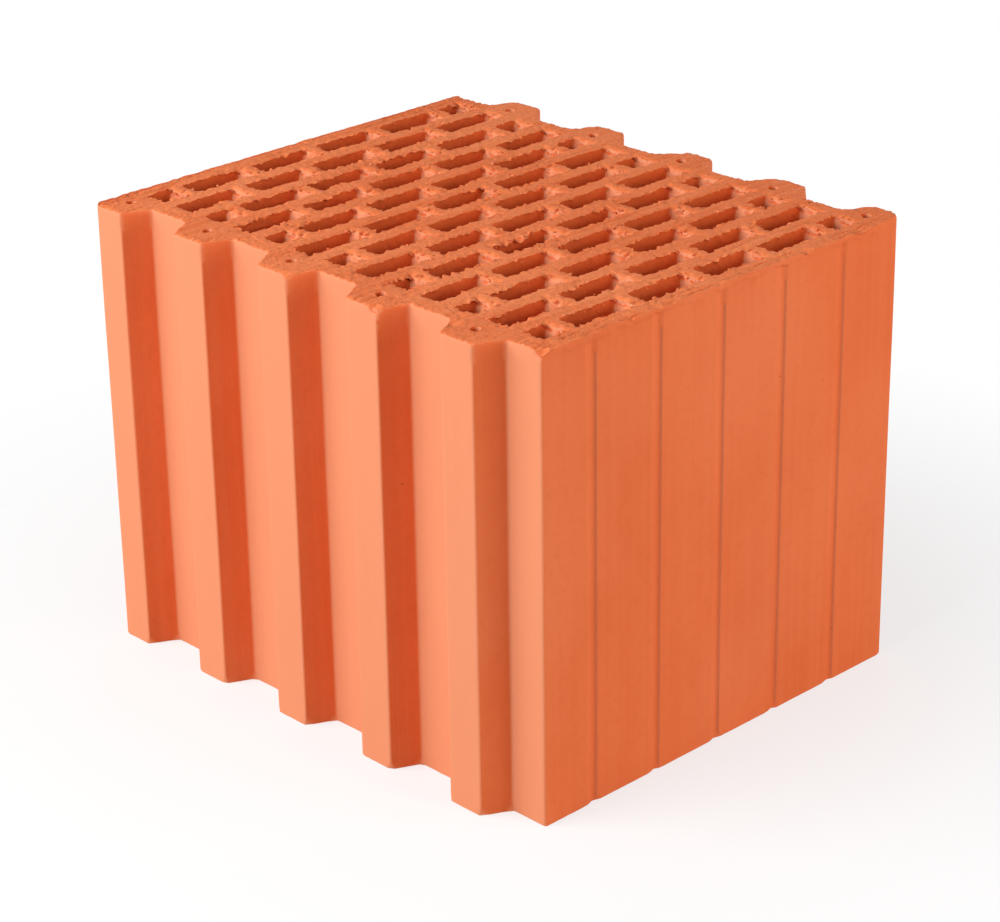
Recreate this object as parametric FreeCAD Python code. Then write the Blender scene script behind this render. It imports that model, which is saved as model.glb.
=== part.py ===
import FreeCAD, Part
import math
import os

# Outer sizes of the block, in millimetres
cover_length = 248.0          # wall length that one block covers, groove floor to opposite tongue tip
wall_depth = 300.0            # from one flat face to the other, the thickness of the wall
block_height = 238.0          # between the two wire-cut faces

# Tongues and grooves on the two ends
tongue_depth = 14.5           # how far a tongue stands out from the groove floor
tongue_pitch = 62.5           # from one tongue to the next
steep_flank_run = 7.0         # depth of wall taken up by the steep flank of a tongue
right_slope_run = 13.0        # depth of wall taken up by the sloping flank, on the +X end
left_slope_run = 8.5          # the same on the -X end
right_steep_play = 2.4        # the +X tongues are this much narrower at the steep flank, for some play
left_slope_play = 2.6         # the -X tongues are this much narrower at the sloping flank
slope_tip_radius = 3.0        # tongue edge above the sloping flank
slope_floor_radius = 2.5      # inner corner of a groove at the sloping flank
right_steep_tip_radius = 5.0  # tongue edge above the steep flank, on the +X end
left_steep_tip_radius = 1.5   # the same on the -X end
right_steep_floor_radius = 8.0  # inner corner of a groove at the steep flank, on the +X end
left_steep_floor_radius = 2.0   # the same on the -X end
least_corner_tongue = 20.0    # the tongue at a corner is at least this wide
right_corner_radius = 9.0     # block corner that ends in a tongue, on the +X end
left_corner_radius = 5.0      # the same on the -X end
recess_corner_radius = 1.5    # block corner that ends in a groove

# Holes, which stand in rows along the wall
hole_length = 35.6
hole_width = 13.4
hole_corner_cut = 1.4         # each corner of a hole is cut off by this much, both ways
cross_web = 8.3               # clay between two holes of one row
row_web = 8.8                 # clay between two rows
least_end_shell = 9.0         # clay between the rows and the groove floor
least_face_shell = 9.0        # clay between the outer rows and the flat faces
least_end_hole = 7.0          # a shorter hole fills the end of a row only when it is at least this long

# Small round bores through the tongues
pin_bore = 3.6
pin_setback = 14.0            # from the tongue tip to the middle of the bore

# Fine upright grooves on the two flat faces
score_pitch = 42.5
score_slope_run = 4.2         # width of the gently sloping side of a groove
score_steep_run = 1.3         # width of its steep side
score_depth = 1.1
least_score_margin = 15.0     # from the last groove to the start of the end profile

# Places that follow from the sizes
groove_floor_x = (cover_length - tongue_depth) / 2.0
tongue_tip_x = groove_floor_x + tongue_depth
face_y = wall_depth / 2.0
row_pitch = hole_width + row_web
hole_pitch = hole_length + cross_web


def turned(x, y):
    """The same place after half a turn of the block, because its tongues are laid out that way."""
    return -x, -y


def rounded_wire(corners):
    """A closed wire through (x, y, radius) corners, with a tangent arc in place of each corner."""
    starts = []
    arcs = []
    for index, (x, y, radius) in enumerate(corners):
        here = FreeCAD.Vector(x, y, 0)
        before = FreeCAD.Vector(*corners[index - 1][:2], 0) - here
        after = FreeCAD.Vector(*corners[(index + 1) % len(corners)][:2], 0) - here
        before.normalize()
        after.normalize()
        half_angle = before.getAngle(after) / 2.0
        reach = radius / math.tan(half_angle)
        bisector = (before + after).normalize()
        middle = here + bisector * (radius / math.sin(half_angle) - radius)
        first = here + before * reach
        last = here + after * reach
        starts.append(first)
        arcs.append((first, middle, last))
    edges = []
    for index, (first, middle, last) in enumerate(arcs):
        edges.append(Part.Arc(first, middle, last).toShape())
        following = starts[(index + 1) % len(starts)]
        edges.append(Part.LineSegment(last, following).toShape())
    return Part.Wire(edges)


def closed_polygon(places):
    """A closed wire of straight edges through (x, y) places."""
    points = [FreeCAD.Vector(x, y, 0) for x, y in places]
    return Part.makePolygon(points + points[:1])


def end_profile(steep_play, slope_play, slope_run, steep_tip_radius, steep_floor_radius, corner_radius):
    """Corners of one end, seen as the +X end, from the +Y face down to the -Y face, starting in a groove."""
    flanks = int((face_y - least_corner_tongue) // tongue_pitch)
    corners = [(groove_floor_x, face_y, recess_corner_radius)]
    for step in range(flanks, -flanks - 1, -1):
        steep_y = step * tongue_pitch - steep_play
        corners.append((groove_floor_x, steep_y + steep_flank_run / 2.0, steep_floor_radius))
        corners.append((tongue_tip_x, steep_y - steep_flank_run / 2.0, steep_tip_radius))
        if step == -flanks:
            continue
        slope_y = (step - 0.5) * tongue_pitch + slope_play
        corners.append((tongue_tip_x, slope_y + slope_run / 2.0, slope_tip_radius))
        corners.append((groove_floor_x, slope_y - slope_run / 2.0, slope_floor_radius))
    corners.append((tongue_tip_x, -face_y, corner_radius))
    return corners


def block_outline():
    """Both ends joined by the flat faces; the -X end is laid out as a +X end and then turned round."""
    right_end = end_profile(
        right_steep_play, 0.0, right_slope_run,
        right_steep_tip_radius, right_steep_floor_radius, right_corner_radius)
    left_end = end_profile(
        0.0, left_slope_play, left_slope_run,
        left_steep_tip_radius, left_steep_floor_radius, left_corner_radius)
    return rounded_wire(right_end + [(*turned(x, y), radius) for x, y, radius in left_end])


def hole_wire(x_low, x_high, y_middle):
    """One hole, an oblong with its four corners cut off."""
    y_low = y_middle - hole_width / 2.0
    y_high = y_middle + hole_width / 2.0
    cut = hole_corner_cut
    places = [
        (x_low + cut, y_low),
        (x_high - cut, y_low),
        (x_high, y_low + cut),
        (x_high, y_high - cut),
        (x_high - cut, y_high),
        (x_low + cut, y_high),
        (x_low, y_high - cut),
        (x_low, y_low + cut),
    ]
    return closed_polygon(places)


def row_of_holes(y_middle, full_holes, row_end):
    """Full holes about the middle of the row, and a short one at each end where the clay leaves room."""
    wires = []
    first_x = -(full_holes - 1) / 2.0 * hole_pitch
    for index in range(full_holes):
        x_middle = first_x + index * hole_pitch
        wires.append(hole_wire(x_middle - hole_length / 2.0, x_middle + hole_length / 2.0, y_middle))
    short_start = -first_x + hole_length / 2.0 + cross_web
    if row_end - short_start >= least_end_hole:
        wires.append(hole_wire(short_start, row_end, y_middle))
        wires.append(hole_wire(-row_end, -short_start, y_middle))
    return wires


def hole_pattern():
    """Rows across the wall; every other row is shifted by half a hole, so no cross web runs straight."""
    row_space = 2.0 * (face_y - least_face_shell)
    rows = int((row_space + row_web) // row_pitch)
    end_space = 2.0 * (groove_floor_x - least_end_shell)
    full_holes = int((end_space + cross_web) // hole_pitch)
    row_end = (full_holes * hole_pitch - cross_web) / 2.0
    wires = []
    for row in range(rows):
        y_middle = (row - (rows - 1) / 2.0) * row_pitch
        shifted = row % 2 == 0
        wires += row_of_holes(y_middle, full_holes - 1 if shifted else full_holes, row_end)
    return wires


def pin_bores():
    """One small bore in every tongue of both ends."""
    flanks = int((face_y - least_corner_tongue) // tongue_pitch)
    bore_x = tongue_tip_x - pin_setback
    wires = []
    for step in range(flanks, -flanks - 1, -1):
        steep_y = step * tongue_pitch
        tongue_end_y = steep_y - tongue_pitch / 2.0 if step > -flanks else -face_y
        bore_y = (steep_y + tongue_end_y) / 2.0
        for x, y in ((bore_x, bore_y), turned(bore_x, bore_y)):
            circle = Part.Circle(FreeCAD.Vector(x, y, 0), FreeCAD.Vector(0, 0, 1), pin_bore / 2.0)
            wires.append(Part.Wire([circle.toShape()]))
    return wires


def score_cutters():
    """Shallow uneven V grooves that run up both flat faces, counted from the middle of the face."""
    steps = int((groove_floor_x - least_score_margin) // score_pitch)
    past_face = 1.0
    widening = (score_depth + past_face) / score_depth
    cutters = []
    for step in range(-steps, steps + 1):
        bottom_x = step * score_pitch
        places = [
            (bottom_x - score_slope_run * widening, -face_y - past_face),
            (bottom_x + score_steep_run * widening, -face_y - past_face),
            (bottom_x, -face_y + score_depth),
        ]
        for side in (places, [turned(x, y) for x, y in places]):
            cutters.append(Part.Face(closed_polygon(side)).extrude(FreeCAD.Vector(0, 0, block_height)))
    return cutters


def clay_block():
    """The pressed section with all its holes, drawn out to the height between the two wire cuts."""
    section = Part.Face([block_outline()] + hole_pattern() + pin_bores())
    column = section.extrude(FreeCAD.Vector(0, 0, block_height))
    return column.cut(Part.makeCompound(score_cutters()))


def single_solid(shape):
    """The one solid of a shape, so that the file holds no empty wrapper."""
    if len(shape.Solids) != 1:
        raise ValueError("the block is not one solid")
    return shape.Solids[0]


os.makedirs("parts", exist_ok=True)
block = single_solid(clay_block())
block.exportStep("parts/clay_block.step")
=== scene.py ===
import math

import bpy
import numpy as np
from bpy.props import FloatProperty, FloatVectorProperty, IntProperty, PointerProperty
from mathutils import Matrix, Vector, noise


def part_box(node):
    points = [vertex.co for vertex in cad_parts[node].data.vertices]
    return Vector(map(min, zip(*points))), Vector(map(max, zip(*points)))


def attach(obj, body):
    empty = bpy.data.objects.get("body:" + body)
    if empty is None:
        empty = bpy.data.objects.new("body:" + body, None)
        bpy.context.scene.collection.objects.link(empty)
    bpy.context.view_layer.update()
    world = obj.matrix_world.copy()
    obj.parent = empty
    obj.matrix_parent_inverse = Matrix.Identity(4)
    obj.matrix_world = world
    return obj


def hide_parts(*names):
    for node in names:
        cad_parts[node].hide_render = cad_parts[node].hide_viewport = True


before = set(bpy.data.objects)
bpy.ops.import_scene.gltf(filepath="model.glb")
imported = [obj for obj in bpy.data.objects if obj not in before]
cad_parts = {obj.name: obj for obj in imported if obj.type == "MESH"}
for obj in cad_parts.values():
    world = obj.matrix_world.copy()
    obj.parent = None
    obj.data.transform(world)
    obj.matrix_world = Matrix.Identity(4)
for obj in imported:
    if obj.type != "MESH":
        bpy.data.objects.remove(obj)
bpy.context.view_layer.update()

bl_info = {
    "name": "Hollow Clay Block",
    "version": (1, 0, 0),
    "blender": (4, 5, 0),
    "location": "3D View > Sidebar > Clay Block",
    "description": "Builds a fired hollow clay block with wire-cut faces, and a plain studio around it",
    "category": "Object",
}

NODE = "clay_block"
MM = 0.001
BLOCK_LOW, BLOCK_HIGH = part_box(NODE)


class ClayBlockSizes(bpy.types.PropertyGroup):
    """Sizes of the pressed section and of the marks that the cutting wire leaves."""

    tongue_depth: FloatProperty(
        name="Tongue Depth", description="How far a tongue stands out from the groove floor",
        default=0.0145, min=0.004, unit="LENGTH")
    tongue_pitch: FloatProperty(
        name="Tongue Pitch", description="Distance from one tongue to the next",
        default=0.0625, min=0.03, unit="LENGTH")
    steep_flank_run: FloatProperty(
        name="Steep Flank", description="Depth of wall taken up by the steep flank of a tongue",
        default=0.007, min=0.002, unit="LENGTH")
    right_slope_run: FloatProperty(
        name="Right Sloping Flank", description="Depth of wall taken up by the sloping flank on the +X end",
        default=0.013, min=0.002, unit="LENGTH")
    left_slope_run: FloatProperty(
        name="Left Sloping Flank", description="Depth of wall taken up by the sloping flank on the -X end",
        default=0.0085, min=0.002, unit="LENGTH")
    right_steep_play: FloatProperty(
        name="Right Play", description="How much narrower the +X tongues are at their steep flank",
        default=0.0024, min=0.0, unit="LENGTH")
    left_slope_play: FloatProperty(
        name="Left Play", description="How much narrower the -X tongues are at their sloping flank",
        default=0.0026, min=0.0, unit="LENGTH")
    hole_length: FloatProperty(
        name="Hole Length", description="Length of a full hole along the wall",
        default=0.0356, min=0.01, unit="LENGTH")
    hole_width: FloatProperty(
        name="Hole Width", description="Width of a hole across the wall",
        default=0.0134, min=0.005, unit="LENGTH")
    cross_web: FloatProperty(
        name="Cross Web", description="Clay between two holes of one row",
        default=0.0083, min=0.003, unit="LENGTH")
    row_web: FloatProperty(
        name="Row Web", description="Clay between two rows of holes",
        default=0.0088, min=0.003, unit="LENGTH")
    pin_bore: FloatProperty(
        name="Pin Bore", description="Diameter of the small bore in each tongue",
        default=0.0036, min=0.001, unit="LENGTH")
    pin_setback: FloatProperty(
        name="Pin Setback", description="From the tongue tip to the middle of the small bore",
        default=0.014, min=0.003, unit="LENGTH")
    score_pitch: FloatProperty(
        name="Score Pitch", description="Distance between the fine grooves of the flat faces",
        default=0.0425, min=0.01, unit="LENGTH")
    score_depth: FloatProperty(
        name="Score Depth", description="Depth of the fine grooves of the flat faces",
        default=0.00125, min=0.0, unit="LENGTH")
    top_spacing: FloatProperty(
        name="Top Mesh Spacing", description="Distance between mesh points on the upper wire-cut face",
        default=0.00112, min=0.0008, unit="LENGTH")
    bottom_spacing: FloatProperty(
        name="Bottom Mesh Spacing", description="Distance between mesh points on the lower wire-cut face",
        default=0.0031, min=0.001, unit="LENGTH")
    drag_height: FloatProperty(
        name="Drag Lines", description="Height of the long marks that the wire drags across the cut",
        default=0.00045, min=0.0, unit="LENGTH")
    grain_height: FloatProperty(
        name="Grain Height", description="Height of the torn grain of the cut",
        default=0.00042, min=0.0, unit="LENGTH")
    rim_tear: FloatProperty(
        name="Rim Tear", description="How far the edge of a hole is torn sideways",
        default=0.00115, min=0.0, unit="LENGTH")
    end_wear: FloatProperty(
        name="End Wear", description="How far the wire rounds off the edge at the +X end of a hole",
        default=0.0019, min=0.0, unit="LENGTH")
    smear_depth: FloatProperty(
        name="Smear", description="How far the cut surface is smeared down over the edge of the flat faces",
        default=0.0036, min=0.0, unit="LENGTH")
    crumb_count: IntProperty(
        name="Crumbs", description="Torn crumbs that stick to the edges of the holes",
        default=1100, min=0)


class ClayBlockColours(bpy.types.PropertyGroup):
    """Colours of the fired clay, as they look under plain light, and colours that paint highlight and shade
    onto it.
    """

    pressed: FloatVectorProperty(
        name="Pressed Clay", description="Colour of the smooth pressed faces", subtype="COLOR",
        size=3, min=0.0, max=1.0, default=(0.79, 0.155, 0.041))
    pressed_pale: FloatVectorProperty(
        name="Pale Bloom", description="Colour of the paler bloom on the pressed faces", subtype="COLOR",
        size=3, min=0.0, max=1.0, default=(0.86, 0.225, 0.085))
    pressed_deep: FloatVectorProperty(
        name="Deep Blotches", description="Colour of the darker blotches on the pressed faces",
        subtype="COLOR", size=3, min=0.0, max=1.0, default=(0.70, 0.118, 0.026))
    # Painted highlight: a pale colour on the faces that look along X, standing in for the key lamp's light
    # on the -X end.
    end_painted_highlight: FloatVectorProperty(
        name="End Bloom", description="Colour of the pale bloom on the faces of the tongues",
        subtype="COLOR", size=3, min=0.0, max=1.0, default=(0.75, 0.300, 0.162))
    cut: FloatVectorProperty(
        name="Cut Clay", description="Colour of the torn grain of the wire-cut faces", subtype="COLOR",
        size=3, min=0.0, max=1.0, default=(0.84, 0.188, 0.056))
    # Paler tone of the cut faces in random patches and streaks, and a painted highlight on the raised
    # grain.
    cut_pale_and_painted_grain_highlight: FloatVectorProperty(
        name="Pale Tone And Painted Grain Highlight", description="Colour of the raised grain of the wire-cut faces",
        subtype="COLOR", size=3, min=0.0, max=1.0, default=(0.95, 0.290, 0.110))
    # Painted shade: darker and deeper than the pressed clay, for the shade inside the holes.
    hole: FloatVectorProperty(
        name="Hole Walls", description="Colour of the walls inside the holes", subtype="COLOR",
        size=3, min=0.0, max=1.0, default=(0.74, 0.128, 0.024))
    # Painted shade: the dark colour put into the small pores and pits, where shade falls.
    pore_painted_shade: FloatVectorProperty(
        name="Pores", description="Colour inside small pores and pits", subtype="COLOR",
        size=3, min=0.0, max=1.0, default=(0.24, 0.045, 0.015))
    floor: FloatVectorProperty(
        name="Floor", description="Colour of the studio floor", subtype="COLOR",
        size=3, min=0.0, max=1.0, default=(0.90, 0.90, 0.90))


class ClayBlockStudio(bpy.types.PropertyGroup):
    """Camera and lamps of the plain studio."""

    camera_azimuth: FloatProperty(
        name="Camera Azimuth", description="Camera angle round the block; 0 looks along +Y",
        default=math.radians(-43.74), subtype="ANGLE")
    camera_elevation: FloatProperty(
        name="Camera Elevation", description="Camera angle above the horizon",
        default=math.radians(23.92), subtype="ANGLE")
    camera_roll: FloatProperty(
        name="Camera Roll", description="Turn of the camera about its own line of sight",
        default=math.radians(-0.9), subtype="ANGLE")
    camera_distance: FloatProperty(
        name="Camera Distance", description="From the camera to the middle of the block",
        default=1.5253, min=0.3, unit="LENGTH")
    camera_lens: FloatProperty(
        name="Lens", description="Focal length on a 36 mm wide sensor, in millimetres",
        default=108.64, min=20.0)
    key_power: FloatProperty(
        name="Key Lamp", description="Power of the large soft lamp at the -X end, in watts",
        default=36.5, min=0.0)
    front_power: FloatProperty(
        name="Front Lamp", description="Power of the soft lamp in front of the flat face, in watts",
        default=21.0, min=0.0)
    fill_power: FloatProperty(
        name="Fill Lamp", description="Power of the weak soft lamp behind the block, in watts",
        default=8.0, min=0.0)
    room_light: FloatProperty(
        name="Room Light", description="Strength of the even light from all around",
        default=0.30, min=0.0)


def smooth_step(low, high, value):
    """0 below low, 1 above high, and a soft S curve between them."""
    share = min(1.0, max(0.0, (value - low) / (high - low)))
    return share * share * (3.0 - 2.0 * share)


class Section:
    """The block's plan in millimetres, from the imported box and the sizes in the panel."""

    HOLE_CORNER_CUT = 1.4
    LEAST_SHELL = 9.0
    LEAST_END_HOLE = 7.0
    LEAST_CORNER_TONGUE = 20.0
    LEAST_SCORE_MARGIN = 15.0
    RECESS_CORNER_RADIUS = 1.5
    SLOPE_TIP_RADIUS = 3.0
    SLOPE_FLOOR_RADIUS = 2.5
    # Radii of each end: tip and floor of the steep flanks, and the corner that ends in a tongue
    RIGHT_RADII = (5.0, 8.0, 9.0)
    LEFT_RADII = (1.5, 2.0, 5.0)
    ARC_STEPS = 7
    # How near to a flat face, to the bend of a block corner and to the holes a place still counts as theirs
    FACE_BAND = 2.5
    CORNER_BAND = 3.0
    HOLE_BAND = 3.5
    # A fine groove's scooped section: places across it, and the share of its depth at each
    SCORE_SHAPE = ((-4.2, 0.0), (-1.8, 0.65), (0.0, 1.0), (1.3, 0.92), (2.2, 0.62), (2.7, 0.0))

    def __init__(self, sizes):
        self.tip_x = BLOCK_HIGH[0] / MM
        self.face_y = BLOCK_HIGH[1] / MM
        self.height = BLOCK_HIGH[2] / MM
        self.floor_x = self.tip_x - sizes.tongue_depth / MM
        self.pitch = sizes.tongue_pitch / MM
        self.steep_run = sizes.steep_flank_run / MM
        self.hole_length = sizes.hole_length / MM
        self.hole_width = sizes.hole_width / MM
        self.cross_web = sizes.cross_web / MM
        row_web = sizes.row_web / MM
        self.hole_pitch = self.hole_length + self.cross_web
        self.row_pitch = self.hole_width + row_web
        self.pin_radius = sizes.pin_bore / MM / 2.0
        self.pin_x = self.tip_x - sizes.pin_setback / MM
        self.score_pitch = sizes.score_pitch / MM
        self.score_depth = sizes.score_depth / MM
        self.flanks = int((self.face_y - self.LEAST_CORNER_TONGUE) // self.pitch)
        self.score_steps = int((self.floor_x - self.LEAST_SCORE_MARGIN) // self.score_pitch)
        row_space = 2.0 * (self.face_y - self.LEAST_SHELL)
        self.rows = int((row_space + row_web) // self.row_pitch)
        hole_space = 2.0 * (self.floor_x - self.LEAST_SHELL)
        self.columns = int((hole_space + self.cross_web) // self.hole_pitch)
        self.row_end = (self.columns * self.hole_pitch - self.cross_web) / 2.0
        self.row_edge = ((self.rows - 1) * self.row_pitch + self.hole_width) / 2.0
        self.holes = self.hole_boxes()
        self.pins = self.pin_places()
        self.right_end = self.end_outline(
            sizes.right_steep_play / MM, 0.0, sizes.right_slope_run / MM, self.RIGHT_RADII)
        self.left_end = self.end_outline(
            0.0, sizes.left_slope_play / MM, sizes.left_slope_run / MM, self.LEFT_RADII)

    def hole_boxes(self):
        """(low x, high x, low y, high y) of every hole; every other row is shifted by half a hole."""
        boxes = []
        for row in range(self.rows):
            y = (row - (self.rows - 1) / 2.0) * self.row_pitch
            low_y = y - self.hole_width / 2.0
            high_y = y + self.hole_width / 2.0
            full = self.columns - 1 if row % 2 == 0 else self.columns
            first = -(full - 1) / 2.0 * self.hole_pitch
            for index in range(full):
                x = first + index * self.hole_pitch
                boxes.append((x - self.hole_length / 2.0, x + self.hole_length / 2.0, low_y, high_y))
            short = -first + self.hole_length / 2.0 + self.cross_web
            if self.row_end - short > self.LEAST_END_HOLE:
                boxes.append((short, self.row_end, low_y, high_y))
                boxes.append((-self.row_end, -short, low_y, high_y))
        return boxes

    def pin_places(self):
        """Middles of the small bores, one in every tongue of both ends."""
        places = []
        for step in range(self.flanks, -self.flanks - 1, -1):
            steep_y = step * self.pitch
            end_y = steep_y - self.pitch / 2.0 if step > -self.flanks else -self.face_y
            places.append((self.pin_x, (steep_y + end_y) / 2.0))
        return places + [(-x, -y) for x, y in places]

    def end_corners(self, steep_play, slope_play, slope_run, radii):
        """Corners of one end, seen as the +X end, from the +Y face to the -Y face, as (x, y, radius)."""
        tip_radius, floor_radius, corner_radius = radii
        corners = [(self.floor_x, self.face_y, self.RECESS_CORNER_RADIUS)]
        for step in range(self.flanks, -self.flanks - 1, -1):
            steep_y = step * self.pitch - steep_play
            corners.append((self.floor_x, steep_y + self.steep_run / 2.0, floor_radius))
            corners.append((self.tip_x, steep_y - self.steep_run / 2.0, tip_radius))
            if step == -self.flanks:
                continue
            slope_y = (step - 0.5) * self.pitch + slope_play
            corners.append((self.tip_x, slope_y + slope_run / 2.0, self.SLOPE_TIP_RADIUS))
            corners.append((self.floor_x, slope_y - slope_run / 2.0, self.SLOPE_FLOOR_RADIUS))
        corners.append((self.tip_x, -self.face_y, corner_radius))
        return corners

    def end_outline(self, *shape):
        """Points of one end with its corners rounded, seen as the +X end, from -Y to +Y."""
        corners = self.end_corners(*shape)
        before_first = (0.0, self.face_y, 0.0)
        after_last = (0.0, -self.face_y, 0.0)
        path = [before_first] + corners + [after_last]
        points = []
        for before, corner, after in zip(path, path[1:], path[2:]):
            points += corner_arc(before, corner, after, self.ARC_STEPS)
        return points[::-1]

    def score_line(self, x):
        """How deep the fine grooves of the front flat face are at x."""
        step = round(x / self.score_pitch)
        if abs(step) > self.score_steps:
            return 0.0
        places, shares = zip(*self.SCORE_SHAPE)
        return self.score_depth * float(np.interp(x - step * self.score_pitch, places, shares))

    def near_face(self, y):
        """Whether a place is at a flat face or in one of its fine grooves."""
        return abs(y) > self.face_y - self.FACE_BAND

    def on_flat(self, x, y):
        """Whether a place of the outline belongs to a flat face, clear of its rounded corners."""
        return self.near_face(y) and abs(x) < self.floor_x - self.CORNER_BAND

    def near_pin(self, x):
        """Whether a place on the rim of an opening belongs to a small bore."""
        return abs(x) > self.row_end + self.HOLE_BAND

    def near_outline(self, x, y):
        """Whether a place is in the shell, where the outline can be close."""
        return abs(x) > self.floor_x - self.LEAST_SHELL or abs(y) > self.face_y - self.LEAST_SHELL

    def end_reach(self, side, y):
        """How far the outline of the +X or -X end reaches at y."""
        end = self.right_end if side > 0 else self.left_end
        end_x, end_y = zip(*end)
        return float(np.interp(side * y, end_y, end_x))

    def outline_ring(self):
        """The whole outline, counter-clockwise, with the fine grooves of both flat faces."""
        back = []
        for step in range(self.score_steps, -self.score_steps - 1, -1):
            for across, share in self.SCORE_SHAPE:
                back.append((step * self.score_pitch - across, self.face_y - share * self.score_depth))
        front = [(-x, -y) for x, y in back]
        return supported(self.right_end + back + [(-x, -y) for x, y in self.left_end] + front)

    def hole_ring(self, box):
        """One hole's outline, counter-clockwise, with its corners cut off."""
        low_x, high_x, low_y, high_y = box
        cut = self.HOLE_CORNER_CUT
        return [
            (low_x + cut, low_y), (high_x - cut, low_y), (high_x, low_y + cut), (high_x, high_y - cut),
            (high_x - cut, high_y), (low_x + cut, high_y), (low_x, high_y - cut), (low_x, low_y + cut),
        ]

    def pin_ring(self, place, sides=10):
        """One small bore's outline, counter-clockwise."""
        turn = 2.0 * math.pi / sides
        return [
            (place[0] + self.pin_radius * math.cos(index * turn),
             place[1] + self.pin_radius * math.sin(index * turn))
            for index in range(sides)
        ]


def corner_arc(before, corner, after, steps):
    """Points of the arc that rounds one corner of a path."""
    here = Vector(corner[:2])
    towards = (Vector(before[:2]) - here).normalized()
    onwards = (Vector(after[:2]) - here).normalized()
    half = towards.angle(onwards) / 2.0
    radius = corner[2]
    first = here + towards * (radius / math.tan(half))
    last = here + onwards * (radius / math.tan(half))
    centre = here + (towards + onwards).normalized() * (radius / math.sin(half))
    spoke = first - centre
    sweep = spoke.angle_signed(last - centre)
    points = []
    for step in range(steps + 1):
        turn = Matrix.Rotation(-sweep * step / steps, 2)
        points.append(tuple(centre + turn @ spoke))
    return points


def supported(ring):
    """A closed ring with more points on its long sides, also close to the corners, so they look flat."""
    long_side = 4.0
    margin = 1.0
    spacing = 13.0
    points = []
    for start, end in zip(ring, ring[1:] + ring[:1]):
        points.append(start)
        length = math.dist(start, end)
        if length < long_side:
            continue
        between = length - 2.0 * margin
        steps = max(1, round(between / spacing))
        for step in range(steps + 1):
            share = (margin + between * step / steps) / length
            points.append(tuple(a + (b - a) * share for a, b in zip(start, end)))
    return points


def divided(breaks, spacing):
    """Values from the first break to the last, with every break kept and even steps between them."""
    values = [breaks[0]]
    for low, high in zip(breaks, breaks[1:]):
        steps = max(1, round((high - low) / spacing))
        values += [low + (high - low) * step / steps for step in range(1, steps + 1)]
    return values


def merged(values):
    """Sorted values with the ones that fall together taken once."""
    least_gap = 0.02
    kept = []
    for value in sorted(values):
        if not kept or value - kept[-1] > least_gap:
            kept.append(value)
    return kept


def shell_steps(depth, spacing):
    """Shares from the inner edge of a shell to the outside, closer together near the outside."""
    from_outside = [0.0, 0.15, 0.55, 1.2, 2.1]
    evenly_split = depth - from_outside[-1]
    steps = max(2, round(evenly_split / spacing))
    distances = [evenly_split * step / steps for step in range(1, steps)]
    distances += [depth - value for value in reversed(from_outside)]
    return [distance / depth for distance in distances]


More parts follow.
